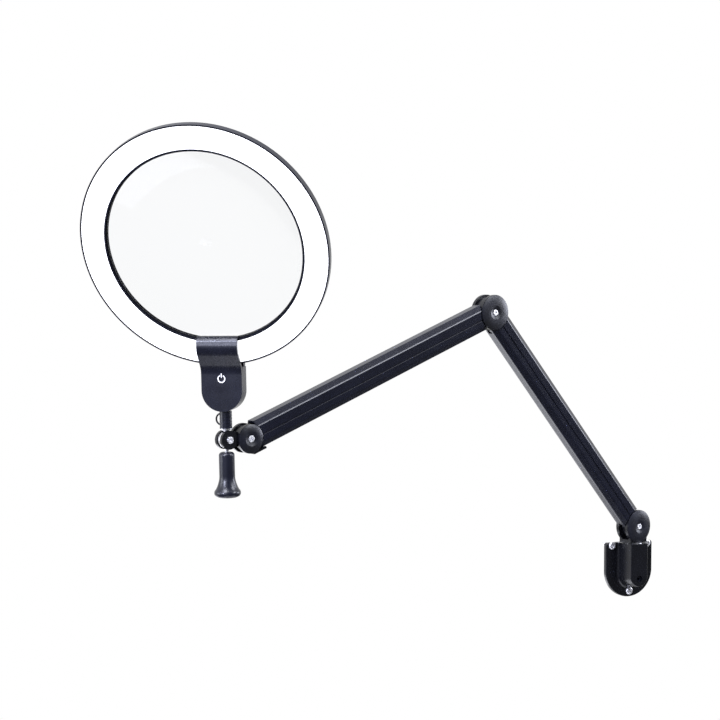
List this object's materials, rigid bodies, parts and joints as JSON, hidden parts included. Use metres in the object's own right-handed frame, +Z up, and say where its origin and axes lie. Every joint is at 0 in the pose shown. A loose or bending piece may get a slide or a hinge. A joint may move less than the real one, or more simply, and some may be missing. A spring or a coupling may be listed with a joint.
{
  "type": "wall-mounted magnifying lamp",
  "caption": "Magnifying lamp on a wall bracket: a slim lit ring round a lens, held by a swivel head with a hand grip on a two-section friction arm.",
  "frame": {"origin": "back face of the wall plate, midway between its two upper screws", "axes": "+X along the wall, +Y into the wall so that the room is towards -Y, +Z up; the arm reaches towards -X"},
  "size_m": [0.6687, 0.2691, 0.4826],
  "materials": {
    "black_paint": "satin black powder coat",
    "dark_plastic": "matte black",
    "satin_black_plastic": "satin black",
    "soft_black_plastic": "soft-touch black",
    "nickel_screw": "nickel plated",
    "bright_steel": "bright steel",
    "brass_washer": "plain brass",
    "black_anodised": "black anodised, fine satin",
    "black_anodised_ring": "black anodised",
    "chrome_washer": "polished",
    "grip_rubber": "satin soft grip",
    "circuit_board": "white solder mask",
    "white_print": "white print",
    "led_phosphor": "yellow phosphor",
    "opal_diffuser": "opal, lit from behind",
    "clear_lens": "polished clear",
    "seal_rubber": "matte black",
    "wire_jacket": "satin black"
  },
  "bodies": {
    "wall_bracket": {"wall_plate": "black_paint", "socket_bush": "dark_plastic", "clamp_screw": "black_anodised", "wall_screw_left": "nickel_screw", "wall_screw_right": "nickel_screw", "wall_screw_low": "nickel_screw"},
    "base_swivel": {"spigot": "bright_steel", "shoulder_fork": "black_paint", "thrust_washer": "bright_steel", "shoulder_cap_near": "satin_black_plastic", "shoulder_cap_far": "satin_black_plastic", "shoulder_bolt": "nickel_screw", "shoulder_nut": "nickel_screw", "shoulder_washers": "brass_washer"},
    "upper_arm": {"upper_tube": "black_anodised", "upper_cable_cover": "satin_black_plastic", "upper_spring": "bright_steel", "upper_spring_rods": "bright_steel", "upper_anchor_pins": "bright_steel", "upper_tongue": "black_paint", "upper_fork": "black_paint", "elbow_cap_near": "satin_black_plastic", "elbow_cap_far": "satin_black_plastic", "elbow_bolt": "nickel_screw", "elbow_nut": "nickel_screw", "elbow_washers": "brass_washer"},
    "forearm": {"fore_tube": "black_anodised", "fore_cable_cover": "satin_black_plastic", "fore_spring": "bright_steel", "fore_spring_rods": "bright_steel", "fore_anchor_pins": "bright_steel", "fore_tongue": "black_paint", "fore_fork": "black_paint", "wrist_cap_near": "satin_black_plastic", "wrist_cap_far": "satin_black_plastic", "wrist_bolt": "nickel_screw", "wrist_nut": "nickel_screw", "wrist_washers": "brass_washer"},
    "wrist": {"wrist_link": "black_paint", "tilt_screw": "nickel_screw", "tilt_nut": "nickel_screw"},
    "neck": {"tilt_spindle": "bright_steel", "neck_washer": "chrome_washer", "neck_nut": "brass_washer", "handle_grip": "grip_rubber"},
    "head": {"neck_collar": "soft_black_plastic", "housing_rear": "soft_black_plastic", "housing_strap": "soft_black_plastic", "driver_board": "circuit_board", "power_mark": "white_print", "ring_screws": "nickel_screw", "ring_shell": "black_anodised_ring", "led_board": "circuit_board", "led_chips": "led_phosphor", "diffuser": "opal_diffuser", "lens": "clear_lens", "lens_seal": "seal_rubber", "lens_retainer": "dark_plastic", "neck_wire": "wire_jacket"}
  },
  "joints": [
    {"name": "base_turn", "type": "hinge", "parent": "wall_bracket", "child": "base_swivel", "pos_m": [0, -0.012, 0.0037], "axis": [0, 0, 1], "range_deg": [-4, 152]},
    {"name": "shoulder", "type": "hinge", "parent": "base_swivel", "child": "upper_arm", "pos_m": [0, -0.012, 0.0214], "axis": [-0.2419, 0.9703, 0], "range_deg": [-40, 38]},
    {"name": "elbow", "type": "hinge", "parent": "upper_arm", "child": "forearm", "pos_m": [-0.20412, -0.06289, 0.25586], "axis": [-0.2419, 0.9703, 0], "range_deg": [-20, 50]},
    {"name": "wrist_hinge", "type": "hinge", "parent": "forearm", "child": "wrist", "pos_m": [-0.49151, -0.13455, 0.14864], "axis": [-0.2419, 0.9703, 0], "range_deg": [-35, 20]},
    {"name": "head_tilt", "type": "hinge", "parent": "wrist", "child": "neck", "pos_m": [-0.51257, -0.1398, 0.14864], "axis": [-0.2419, 0.9703, 0], "range_deg": [-22, 12]},
    {"name": "head_turn", "type": "hinge", "parent": "neck", "child": "head", "pos_m": [-0.51257, -0.1398, 0.14864], "axis": [-0.0237, -0.0059, 0.9997], "range_deg": [-130, 130]}
  ]
}
